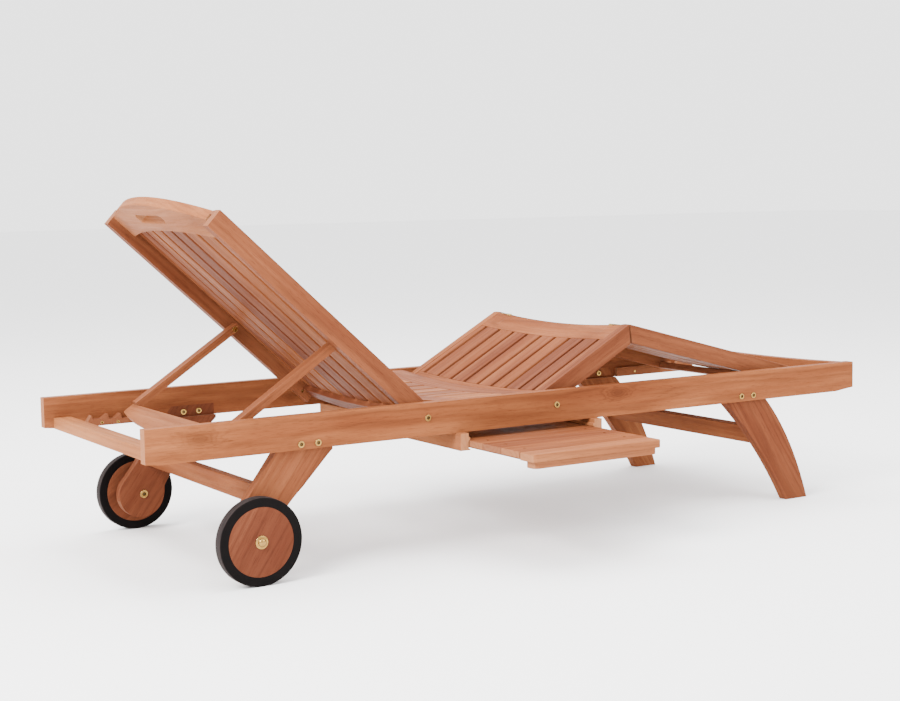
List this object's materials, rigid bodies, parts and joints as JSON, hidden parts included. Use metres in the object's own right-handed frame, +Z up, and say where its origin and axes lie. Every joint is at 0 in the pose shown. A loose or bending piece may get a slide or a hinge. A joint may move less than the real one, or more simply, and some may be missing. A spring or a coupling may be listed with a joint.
{
  "type": "sun lounger",
  "caption": "Slatted timber sun lounger with a propped reclining backrest, a bending leg rest, a slide-out side tray, wheels at the head and curved legs at the foot.",
  "frame": {"origin": "centre of the whole outline on the floor, with the side tray pulled out as stored", "axes": "+X from the head end to the foot end, +Y to the left of a person lying on it, +Z up"},
  "size_m": [2, 0.998, 0.822],
  "materials": {
    "teak": "oiled teak, satin, straight grain with soft darker streaks",
    "teak_pale": "oiled teak, paler boards and end grain",
    "brass": "polished brass, lightly worn",
    "rubber": "matt black rubber"
  },
  "bodies": {
    "frame": {"side_rail_left": "teak", "side_rail_right": "teak", "head_crossbar": "teak_pale", "foot_crossrail": "teak", "head_racks": "teak_pale", "foot_racks": "teak_pale", "rack_screws": "brass", "wheel_leg_left": "teak", "wheel_leg_right": "teak", "wheel_leg_stretcher": "teak", "front_leg_left": "teak", "front_leg_right": "teak", "front_leg_stretcher": "teak", "leg_bolts": "brass", "seat_rear_rail": "teak", "seat_front_rail": "teak", "seat_slats": "teak_pale", "back_pivot_bolts": "brass", "thigh_pivot_bolts": "brass", "pivot_washers": "brass", "axle_bolts": "brass", "axle_spacers": "brass", "axle_cap_nuts": "brass", "tray_runners": "teak_pale"},
    "backrest": {"back_stile_left": "teak", "back_stile_right": "teak", "back_crest": "teak_pale", "back_bottom_rail": "teak", "back_slats": "teak", "prop_pivot_pins": "brass"},
    "prop": {"prop_arm_left": "teak", "prop_arm_right": "teak", "prop_bar": "teak_pale"},
    "thigh": {"thigh_stile_left": "teak", "thigh_stile_right": "teak", "thigh_seat_rail": "teak", "thigh_knee_rail": "teak", "thigh_slats": "teak", "knee_hinge_thigh_leaves": "brass", "knee_hinge_pins": "brass"},
    "calf": {"calf_stile_left": "teak", "calf_stile_right": "teak", "calf_knee_rail": "teak", "calf_foot_rail": "teak", "calf_slats": "teak", "calf_foot_bar": "teak_pale", "knee_hinge_calf_leaves": "brass"},
    "tray": {"tray_planks": "teak", "tray_front_board": "teak_pale", "tray_front_batten": "teak_pale", "tray_side_battens": "teak", "tray_screws": "brass"},
    "wheel_left": {"wheel_disc_left": "teak", "tyre_left": "rubber", "wheel_bush_left": "brass"},
    "wheel_right": {"wheel_disc_right": "teak", "tyre_right": "rubber", "wheel_bush_right": "brass"}
  },
  "joints": [
    {"name": "back_recline", "type": "hinge", "parent": "frame", "child": "backrest", "pos_m": [-0.33, 0.113, 0.316], "axis": [0, 1, 0], "range_deg": [-39.8, 0]},
    {"name": "prop_swing", "type": "hinge", "parent": "backrest", "child": "prop", "pos_m": [-0.52799, 0.113, 0.48994], "axis": [0, -1, 0], "range_deg": [-73.21, 0]},
    {"name": "thigh_lift", "type": "hinge", "parent": "frame", "child": "thigh", "pos_m": [0.025, 0.113, 0.316], "axis": [0, -1, 0], "range_deg": [-29, 0]},
    {"name": "calf_fold", "type": "hinge", "parent": "thigh", "child": "calf", "pos_m": [0.27537, 0.113, 0.48622], "axis": [0, 1, 0], "range_deg": [-43.9, 0]},
    {"name": "tray_slide", "type": "slide", "parent": "frame", "child": "tray", "axis": [0, 1, 0], "range_m": [0, 0.262]},
    {"name": "wheel_left_spin", "type": "hinge", "parent": "frame", "child": "wheel_left", "pos_m": [-0.764, 0.4775, 0.095], "axis": [0, 1, 0], "continuous": true},
    {"name": "wheel_right_spin", "type": "hinge", "parent": "frame", "child": "wheel_right", "pos_m": [-0.764, -0.2515, 0.095], "axis": [0, 1, 0], "continuous": true}
  ],
  "couplings": [
    {"joint": "prop_swing", "follows": "back_recline", "ratio": 1.8392},
    {"joint": "calf_fold", "follows": "thigh_lift", "ratio": 1.5138}
  ]
}
